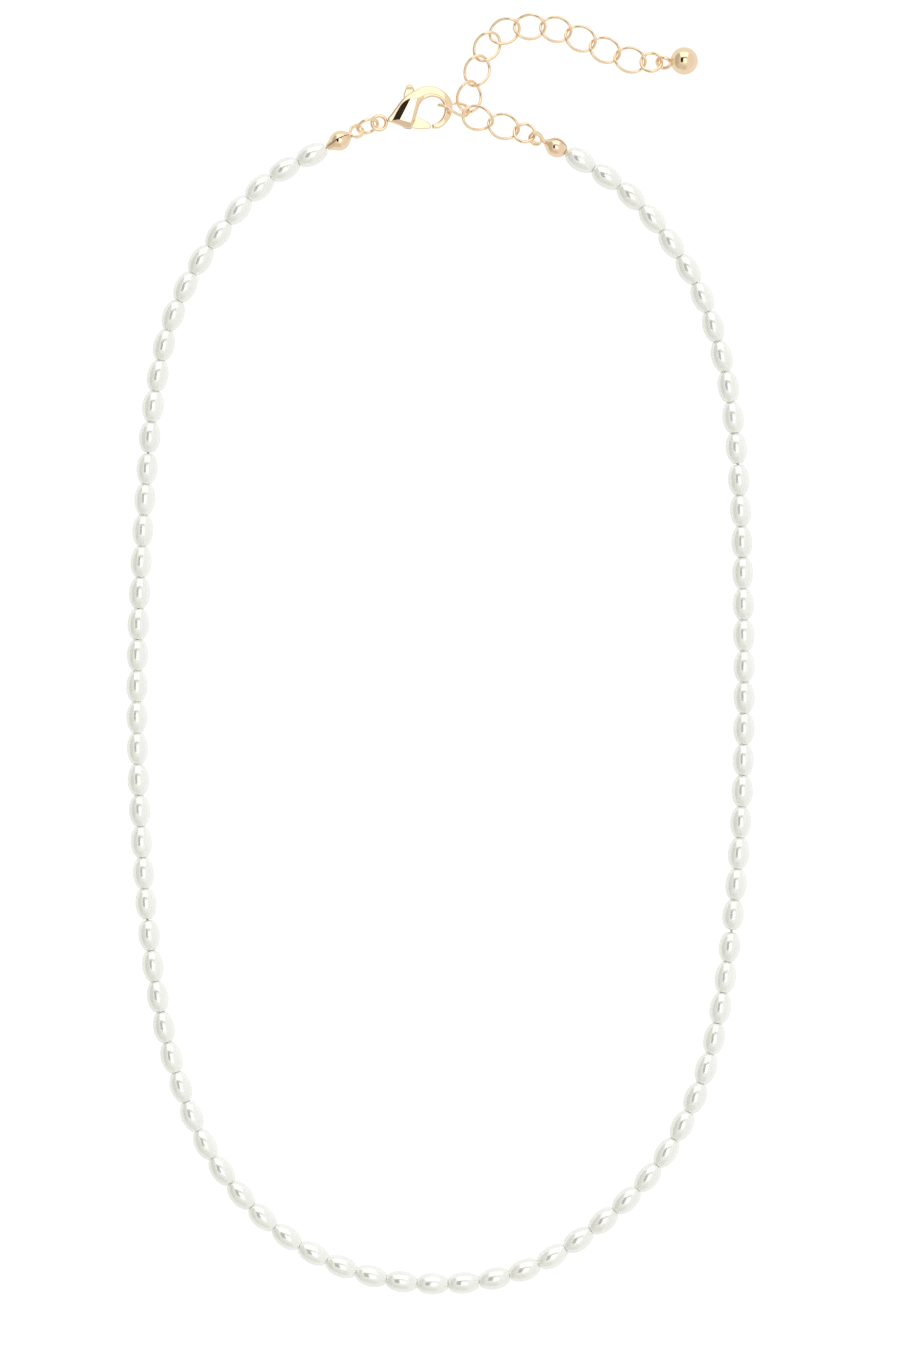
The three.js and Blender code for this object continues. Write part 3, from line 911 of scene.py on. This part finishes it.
# %% [markdown]
# ## The lobster clasp
#
# The clasp body is cast, so it is all facets, ridges and soft edges: a raised band along the outside of
# the hook, a small step down to a lower band along its inside, and a belly of sloping facets that swells
# over the lever's pin. A box-modelled shape would take many loops to follow that outline. Here the outline
# is drawn as curves and filled with a fine triangle net. The net has an edge along every crease, and each
# of its points is lifted to the height that a few sloping planes give it there. The same height,
# mirrored, makes the back.

# %% Outlines of the clasp, with the lever's pin at the origin
HOOK_OUTER = [
    [-3.0, 0.2], [-2.6, 0.6], [-1.95, 1.5], [-0.75, 3.05], [0.65, 4.05], [1.85, 4.65], [3.15, 4.85],
    [4.45, 4.5], [5.55, 3.7], [6.25, 2.7], [6.4, 1.6], [6.1, 0.3], [5.35, -0.7], [4.45, -1.3], [3.5, -1.35],
]  # fmt: skip
HOOK_INNER = [
    [3.4, -0.8], [4.25, -0.45], [4.95, 0.3], [5.25, 1.3], [5.05, 2.3], [4.35, 3.05], [3.35, 3.25],
    [2.35, 2.9], [1.7, 2.2], [1.3, 1.1], [1.0, -0.1],
]  # fmt: skip
BODY_LOWER = [[0.45, -1.4], [-0.45, -1.3], [-1.45, -0.85], [-2.55, -0.45], [-3.0, -0.35]]
LEVER_WAY = [
    [-0.85, -1.0], [-1.05, 0.0], [-3.4, 5.3], [1.1, 5.9], [1.05, 1.9], [1.75, 1.4], [1.95, -1.9],
    [0.0, -1.9],
]  # fmt: skip
LEVER = [
    [0.85, 0.6], [0.6, 1.5], [0.8, 3.6], [0.8, 4.4], [0.5, 4.95], [0.15, 5.12], [-0.2, 4.9], [-0.45, 4.3],
    [-0.72, 3.3], [-0.52, 2.1], [-0.47, 1.5], [-0.58, 0.35], [-0.65, -0.2], [-0.35, -0.75], [0.3, -1.15],
    [1.1, -1.38], [2.2, -1.42], [3.1, -1.34], [3.26, -1.05], [2.95, -0.5], [1.9, 0.1],
]  # fmt: skip
CLASP_PIVOT = (-4.75, 77.9, 1.45)
EYELET_AT = (-4.25, -0.5)
EYELET_RADIUS = 1.025
EYELET_WIRE_RADIUS = 0.275
CLASP_POSE = placed(CLASP_PIVOT)
HOOK_OUTLINE = np.vstack([catmull_rom(part, 8) for part in (HOOK_OUTER, HOOK_INNER, BODY_LOWER)])
LEVER_OUTLINE = catmull_rom([*LEVER, LEVER[0]], 6)[:-1]
print("clasp outlines:", len(HOOK_OUTLINE), "and", len(LEVER_OUTLINE), "points")


# %% Distances and a triangle net


def distance_to(points, line, closed=False):
    """The distance from each point to a line of many short stretches."""
    starts = np.array(line)
    ends = np.roll(starts, -1, axis=0)
    if not closed:
        starts, ends = starts[:-1], ends[:-1]
    run = ends - starts
    offset = points[:, None, :] - starts[None]
    share = np.clip((offset * run).sum(2) / np.maximum((run * run).sum(1), 1e-12), 0, 1)
    return np.linalg.norm(offset - share[..., None] * run[None], axis=2).min(1)


def inside_of(points, outline):
    """True for each point inside a closed outline, by counting crossings."""
    x, y = points[:, 0], points[:, 1]
    inside = np.zeros(len(points), bool)
    for (ax, ay), (bx, by) in zip(outline, np.roll(outline, -1, axis=0)):
        if ay != by:
            crosses = ((ay > y) != (by > y)) & (x < (bx - ax) * (y - ay) / (by - ay) + ax)
            inside ^= crosses
    return inside


def signed_area(outline):
    """Twice the area, and above zero when the outline runs counter-clockwise."""
    after = np.roll(outline, -1, axis=0)
    return np.sum(outline[:, 0] * after[:, 1] - after[:, 0] * outline[:, 1])


def kept_stretches(line, outline, margin):
    """The point pairs of a line that lie well inside an outline."""
    keep = inside_of(line, outline) & (distance_to(line, outline, True) > margin)
    return [(nth, nth + 1) for nth in range(len(line) - 1) if keep[nth] and keep[nth + 1]]


# How near lines may come to the edge: a share of a row's depth, and a distance for creases. How near loose
# points may come to the last row and to a crease: shares of the spacing.
ROW_SHARE = 0.92
CREASE_MARGIN = 0.02
ROW_CLEAR = 0.4
CREASE_CLEAR = 0.35


def net_inside(outline, spacing, depths, creases=()):
    """A triangle net in an outline, with rows at some depths inside its edge and edges along each crease."""
    edge_run = np.roll(outline, -1, axis=0) - np.roll(outline, 1, axis=0)
    edge_run /= np.linalg.norm(edge_run, axis=1)[:, None]
    inwards = np.stack([-edge_run[:, 1], edge_run[:, 0]], axis=1) * np.sign(signed_area(outline))
    rows = [outline + inwards * depth for depth in depths]
    kept = [(np.vstack([row, row[:1]]), ROW_SHARE * depth) for row, depth in zip(rows, depths)]
    kept += [(crease, CREASE_MARGIN) for crease in creases]
    low, high = outline.min(0), outline.max(0)
    columns = np.arange(low[0], high[0], spacing)
    lines = np.arange(low[1], high[1], spacing * math.sqrt(3) / 2)
    grid = np.array([(x + (nth % 2) * spacing / 2, y) for nth, y in enumerate(lines) for x in columns])
    grid = grid[inside_of(grid, outline)]
    grid = grid[distance_to(grid, outline, True) > depths[-1] + ROW_CLEAR * spacing]
    for crease in creases:
        grid = grid[distance_to(grid, crease) > CREASE_CLEAR * spacing]
    corners = [Vector(point) for point in np.vstack([outline, grid])]
    edges = []
    for line, margin in kept:
        for start, end in kept_stretches(line, outline, margin):
            edges.append((len(corners), len(corners) + 1))
            corners += [Vector(line[start]), Vector(line[end])]
    made = delaunay_2d_cdt(corners, edges, [list(range(len(outline)))], 1, 1e-4)
    return np.array([tuple(point) for point in made[0]]), made[2]


# %% From a net to a closed casting


def casting(net, triangles, heights):
    """The net lifted to +height and, mirrored, to -height, closed by a wall round its edge."""
    count = len(net)
    points = [(x, y, z) for (x, y), z in zip(net, heights)]
    points += [(x, y, -z) for (x, y), z in zip(net, heights)]
    faces = []
    edges = set()
    for face in triangles:
        (ax, ay), (bx, by), (cx, cy) = (net[corner] for corner in face)
        if (bx - ax) * (cy - ay) - (cx - ax) * (by - ay) < 0:
            face = tuple(reversed(face))
        faces.append(tuple(face))
        faces.append(tuple(count + corner for corner in reversed(face)))
        edges |= {(face[nth], face[(nth + 1) % 3]) for nth in range(3)}
    for a, b in edges:
        if (b, a) not in edges:
            faces.append((b, a, count + a, count + b))
    return points, faces


def rounded_edge(height, distance, rounding):
    """Lowers a height near the edge by a quarter circle."""
    reach = np.clip(rounding - distance, 0, rounding)
    return height - rounding + np.sqrt(rounding**2 - reach**2)


def plane_through(points):
    """A sloping plane through three (x, y, height) corners, as a function of x and y."""
    (ax, ay, az), b, c = points
    rows = np.array([[b[0] - ax, b[1] - ay], [c[0] - ax, c[1] - ay]])
    slope = np.linalg.solve(rows, [b[2] - az, c[2] - az])
    return lambda x, y: az + slope[0] * (x - ax) + slope[1] * (y - ay)


# %% How high the clasp's face stands
# The face has a raised outer band and, inside a small step, a belly of sloping facets that runs out
# into the hook's lower inner band. BELOW_CLASP closes the step's line into an outline.
BAND_HIGH = 0.75
BAND_LOW = 0.6
STEP_WIDTH = 0.07
SOFTENING = 0.035
CLASP_ROUNDING = 0.24
HOOK_TURN_X = 5.2
HOOK_TURN_SLOPE = 0.2
STEP_LINE = [
    [-3.3, -0.9], [-2.35, -0.15], [-1.5, 1.46], [-0.76, 2.48], [0.3, 3.05], [1.08, 3.0], [2.0, 3.35],
    [2.65, 3.62], [3.35, 3.7], [4.55, 3.42], [5.42, 2.5], [5.7, 1.3], [5.3, 0.05], [4.45, -0.85],
    [3.2, -1.4],
]  # fmt: skip
BELOW_CLASP = [[3.2, -3.0], [-3.3, -3.0]]
BELLY_PLANES = [
    plane_through([(-2.31, -0.2, 0.90), (-1.27, -0.2, 1.108), (0.35, 2.99, 0.953)]),
    plane_through([(-1.27, -0.2, 1.108), (0.35, 2.99, 0.953), (0.35, -0.52, 1.124)]),
    plane_through([(0.35, -0.52, 1.124), (1.13, 2.47, 0.978), (1.35, -0.52, 0.774)]),
    plane_through([(-2.31, -0.2, 0.90), (0.35, -0.52, 1.124), (0.35, -1.52, 0.674)]),
    plane_through([(-2.31, -0.2, 0.90), (-2.31, 0.8, 0.90), (-3.31, -0.2, 0.35)]),
]


def step_lines():
    """The top and the foot of the step, and a line close outside each, as dense lines."""
    top = catmull_rom(STEP_LINE, 12)
    run = np.gradient(top, axis=0)
    run /= np.linalg.norm(run, axis=1)[:, None]
    inwards = np.stack([run[:, 1], -run[:, 0]], axis=1)
    return [top + inwards * offset for offset in (0, STEP_WIDTH, -SOFTENING, STEP_WIDTH + SOFTENING)]


STEP_LINES = step_lines()


def inside_step(net):
    return inside_of(net, np.vstack([STEP_LINES[0], BELOW_CLASP]))


def belly_height(net):
    return np.min([plane(net[:, 0], net[:, 1]) for plane in BELLY_PLANES], axis=0)


RIDGE_STEP = 0.08
RIDGE_REACH = 8.0


def ridges():
    """The straight lines where two belly planes, or a plane and the low band, meet on the face.

    Each has a line close by on either side, so that it is softened like a polished edge."""
    flat = plane_through([(0, 0, BAND_LOW), (1, 0, BAND_LOW), (0, 1, BAND_LOW)])
    planes = [*BELLY_PLANES, flat]
    found = []
    for first, one in enumerate(planes):
        for other in planes[first + 1 :]:
            start = one(0, 0) - other(0, 0)
            slope = np.array([one(1, 0) - other(1, 0), one(0, 1) - other(0, 1)]) - start
            size = np.linalg.norm(slope)
            along = np.arange(-RIDGE_REACH, RIDGE_REACH, RIDGE_STEP)[:, None]
            line = -slope * start / size**2 + along * np.array([-slope[1], slope[0]]) / size
            height = one(line[:, 0], line[:, 1])
            on_face = (height < belly_height(line) + 1e-6) & (height > BAND_LOW - 1e-6)
            on_face &= inside_step(line) & (distance_to(line, STEP_LINES[0]) > STEP_WIDTH + SOFTENING)
            if on_face.sum() > 2:
                side = SOFTENING * slope / size
                found += [line[on_face] + side, line[on_face], line[on_face] - side]
    return found


def clasp_height(net):
    deep = distance_to(net, STEP_LINES[0]) * inside_step(net)
    inner = np.maximum(BAND_LOW, belly_height(net))
    outer = BAND_HIGH - HOOK_TURN_SLOPE * np.maximum(0, net[:, 0] - HOOK_TURN_X)
    height = outer + (inner - outer) * np.clip(deep / STEP_WIDTH, 0, 1)
    return rounded_edge(height, distance_to(net, HOOK_OUTLINE, True), CLASP_ROUNDING)


# %% Cutting and joining solids
# Booleans run while the shapes are still in millimetres.


def carve(body, tool, operation):
    """Joins or cuts with an exact boolean, and removes the tool."""
    step = body.modifiers.new("carve", "BOOLEAN")
    step.operation = operation
    step.solver = "EXACT"
    step.object = tool
    made = bpy.data.meshes.new_from_object(body.evaluated_get(bpy.context.evaluated_depsgraph_get()))
    body.modifiers.clear()
    old = body.data
    body.data = made
    bpy.data.meshes.remove(old)
    bpy.data.objects.remove(tool)


def prism(outline, low, high):
    """A straight-sided solid over an outline, between two heights."""
    count = len(outline)
    points = [(x, y, low) for x, y in outline] + [(x, y, high) for x, y in outline]
    ends = [tuple(reversed(range(count))), tuple(range(count, 2 * count))]
    return points, ends + ring_quads(1, 2, count)


def counter_clockwise(outline):
    outline = np.array(outline)
    return outline if signed_area(outline) > 0 else outline[::-1]


def finish_solid(body, name, sharp_degrees=40):
    """Turns a millimetre solid into a finished piece in metres, in its place on the clasp."""
    body.data.transform(Matrix.Scale(MM, 4) @ CLASP_POSE)
    body.data.update()
    shade_by_angle(body.data, sharp_degrees)
    body.name = name
    body.data.name = name
    return body


# %% Cast the body
# The slot for the lever is open at the hook's mouth and along the side of the nub, and shut above and
# below. The pin's hole is drilled from the back and stops short of the front face.
CLASP_NET = 0.1
CLASP_ROWS = [0.02, 0.06, 0.12, 0.18, CLASP_ROUNDING]
PIN_HOLE = 0.31
PIN_HOLE_TOP = 0.7
SLOT_HALF = 0.45
PAST_THE_FACE = 2.0

net, triangles = net_inside(HOOK_OUTLINE, CLASP_NET, CLASP_ROWS, [*STEP_LINES, *ridges()])
clasp = solid("clasp", *casting(net, triangles, clasp_height(net)))
eyelet_line = [(EYELET_AT[0] + x, EYELET_AT[1] + y, 0.0) for x, y in circle(EYELET_RADIUS, 64)]
eyelet = solid("eyelet", *swept(eyelet_line, circle(EYELET_WIRE_RADIUS, 20), closed=True))
carve(clasp, eyelet, "UNION")
slot = solid("slot", *prism(counter_clockwise(LEVER_WAY), -SLOT_HALF, SLOT_HALF))
carve(clasp, slot, "DIFFERENCE")
hole = solid("hole", *prism(circle(PIN_HOLE, 32), -PAST_THE_FACE, PIN_HOLE_TOP))
carve(clasp, hole, "DIFFERENCE")
finish_solid(clasp, "lobster_clasp")
hang(clasp, "clasp", GOLD, "gold", "clasp_body")
print("clasp body:", len(clasp.data.polygons), "faces")

# %% [markdown]
# ## The lever and its pin
#
# The lever is one stamped piece: the gate that closes the mouth, and a thicker, ribbed nub for the thumb.
# Its ribs could be a bump in the material, but they show in the outline of so small a piece, so they are
# real heights. It is made like the body, from an outline and a height, and a pin is turned for its hole.

# %% How high the lever's face stands
LEVER_HALF = 0.3
LEVER_ROUNDING = 0.14
NUB_FROM = 4.2
NUB_BLEND = 0.5
NUB_RISE = 0.17
RIB_DEPTH = 0.035
RIB_PITCH = 0.24


def lever_height(net):
    along = net[:, 1] - NUB_FROM
    nub = np.clip(along / NUB_BLEND, 0, 1)
    ribs = RIB_DEPTH * nub * np.cos(along * 2 * math.pi / RIB_PITCH)
    height = LEVER_HALF + NUB_RISE * nub * nub * (3 - 2 * nub) + ribs
    return rounded_edge(height, distance_to(net, LEVER_OUTLINE, True), LEVER_ROUNDING)


# %% Stamp the lever
LEVER_NET = 0.09
LEVER_ROWS = [0.02, 0.05, 0.09, LEVER_ROUNDING]
PIN_PLAY = 0.03

net, triangles = net_inside(counter_clockwise(LEVER_OUTLINE), LEVER_NET, LEVER_ROWS)
lever = solid("lever", *casting(net, triangles, lever_height(net)))
hole = solid("hole", *prism(circle(PIN_HOLE + PIN_PLAY, 32), -PAST_THE_FACE, PAST_THE_FACE))
carve(lever, hole, "DIFFERENCE")
finish_solid(lever, "clasp_gate")
hang(lever, "lever", GOLD, "gold", "clasp_lever")
print("lever:", len(lever.data.polygons), "faces")

# %% The pin
PIN_PROFILE = [(-1.12, 0.0), (-1.12, 0.24), (-1.08, 0.29), (0.62, 0.29), (0.66, 0.24), (0.66, 0.0)]
points, faces = turned_on_axis(PIN_PROFILE, 28)
stand = Matrix.Rotation(math.radians(-90), 4, "Y")
pin = new_piece("hinge_pin", moved(points, CLASP_POSE @ stand), faces)
hang(pin, "clasp", GOLD, "gold", "clasp_pivot")

# %% [markdown]
# ## Pieces that keep their frame shape
#
# The crimps sit inside the closed cups and the spring inside the slot. Their frame shapes are already
# right for what can be seen of them, so they only get their finish.

# %% Finishes for the frame's own nodes
for name in ("crimp_left", "crimp_right", "clasp_spring"):
    node_object = frame["nodes"][name]
    node_object.data.materials.clear()
    node_object.data.materials.append(STEEL)

# %% [markdown]
# ## The studio
#
# The necklace lies on a bright white sweep inside a light tent. Polished metal and pearl show little but
# what stands round them, so the tent matters more than any lamp. It is painted in the world shader, by
# direction: duller walls on the left and in front, a long white panel beyond the clasp, a white one nearly
# overhead, a black card beside that one, a narrow grey strip, and one small bright spot. A node group
# makes one card, and each copy has its own place.

# %% Group 3: one card of the light tent


def make_card_group():
    tree, given, result = new_group(
        "tent_card",
        [
            ("Facing", "NodeSocketVector", (0, 0, 1)),
            ("Across", "NodeSocketVector", (1, 0, 0)),
            ("Up", "NodeSocketVector", (0, 1, 0)),
            ("Half Width", "NodeSocketFloat", 0.3),
            ("Half Height", "NodeSocketFloat", 0.3),
            ("Softness", "NodeSocketFloat", 0.05),
        ],
        [("Mask", "NodeSocketFloat")],
    )
    place = add_node(tree, "ShaderNodeTexCoord")

    def dot_with(title):
        made = add_node(tree, "ShaderNodeVectorMath", operation="DOT_PRODUCT")
        tree.links.new(place.outputs["Generated"], made.inputs[0])
        tree.links.new(given.outputs[title], made.inputs[1])
        return made.outputs["Value"]

    depth = add_math(tree, "MAXIMUM", dot_with("Facing"), 0.0001)
    mask = add_math(tree, "GREATER_THAN", dot_with("Facing"), 0.01)
    for title, size in (("Across", "Half Width"), ("Up", "Half Height")):
        reach = add_math(tree, "ABSOLUTE", add_math(tree, "DIVIDE", dot_with(title), depth))
        room = add_math(tree, "SUBTRACT", given.outputs[size], reach)
        ramp = add_node(tree, "ShaderNodeMapRange", interpolation_type="SMOOTHSTEP")
        tree.links.new(room, ramp.inputs["Value"])
        tree.links.new(given.outputs["Softness"], ramp.inputs["From Max"])
        mask = add_math(tree, "MULTIPLY", mask, ramp.outputs["Result"])
    tree.links.new(mask, result.inputs["Mask"])
    return tree


CARD = make_card_group()

# %% Paint the tent


def direction(tilt, towards):
    """A unit vector tilted away from straight up, towards a compass angle from +X, in degrees."""
    t, a = math.radians(tilt), math.radians(towards)
    return Vector((math.sin(t) * math.cos(a), math.sin(t) * math.sin(a), math.cos(t)))


TENT_WALL = (0.91, 0.91, 0.89)
CARDS = [
    # tilt, towards, half width, half height, softness, colour
    (75, 180, 0.9, 1.6, 0.5, (0.56, 0.57, 0.50)),
    (70, 0, 0.7, 1.4, 0.5, (0.88, 0.88, 0.86)),
    (60, 250, 0.9, 0.6, 0.4, (0.72, 0.71, 0.66)),
    (56, 90, 0.62, 0.5, 0.12, (1.45, 1.45, 1.42)),
    (20.4, 163, 0.24, 0.40, 0.06, (0.03, 0.025, 0.025)),
    (25.7, 90, 0.39, 0.07, 0.03, (0.25, 0.23, 0.20)),
    (6.6, 335, 0.29, 0.36, 0.06, (1.45, 1.45, 1.43)),
    (9.4, 89, 0.06, 0.06, 0.02, (2.3, 2.3, 2.3)),
]

world = bpy.data.worlds.new("light_tent")
scene.world = world
world.use_nodes = True
tent = world.node_tree
background = tent.nodes["Background"]
paint = add_node(tent, "ShaderNodeRGB")
paint.outputs[0].default_value = (*TENT_WALL, 1)
colour = paint.outputs[0]
for tilt, towards, half_width, half_height, softness, card_colour in CARDS:
    facing = direction(tilt, towards)
    up = Vector((0, 1, 0)) if abs(facing.y) < 0.7 else Vector((0, 0, 1))
    up = (up - facing * up.dot(facing)).normalized()
    card = add_node(tent, "ShaderNodeGroup", node_tree=CARD)
    set_inputs(
        card,
        Facing=facing,
        Across=up.cross(facing),
        Up=up,
        Half_Width=half_width,
        Half_Height=half_height,
        Softness=softness,
    )
    blend = add_node(tent, "ShaderNodeMix", data_type="RGBA")
    blend.inputs[7].default_value = (*card_colour, 1)
    tent.links.new(card.outputs["Mask"], blend.inputs["Factor"])
    tent.links.new(colour, blend.inputs[6])
    colour = blend.outputs[2]
seen = add_node(tent, "ShaderNodeLightPath")
plain = add_node(tent, "ShaderNodeMix", data_type="RGBA")
plain.inputs[7].default_value = (1, 1, 1, 1)
tent.links.new(seen.outputs["Is Camera Ray"], plain.inputs["Factor"])
tent.links.new(colour, plain.inputs[6])
tent.links.new(plain.outputs[2], background.inputs["Color"])
scene.view_settings.view_transform = "Standard"
print("tent cards:", len(CARDS))

# %% The white sweep
# It glows a little, so that it stays clean white right up to the pearls.
SWEEP_HALF = 1.5


def make_sweep_finish():
    finish, tree, shader = new_finish("white_sweep")
    add_clouds(tree, shader, 40.0, 1.0, (0.13, 0.13, 0.13), (0.12, 0.12, 0.12))
    set_inputs(shader, Roughness=0.9, Emission_Color=(1, 1, 1, 1))
    seen = add_node(tree, "ShaderNodeLightPath")
    glow = add_node(tree, "ShaderNodeMapRange")
    set_inputs(glow, To_Min=0.8, To_Max=0.95)
    tree.links.new(seen.outputs["Is Camera Ray"], glow.inputs["Value"])
    tree.links.new(glow.outputs["Result"], shader.inputs["Emission Strength"])
    return finish


sweep = new_piece(
    "white_sweep",
    [(x * SWEEP_HALF / MM, y * SWEEP_HALF / MM, 0) for x, y in ((-1, -1), (1, -1), (1, 1), (-1, 1))],
    [(0, 1, 2, 3)],
)
sweep.data.materials.append(make_sweep_finish())
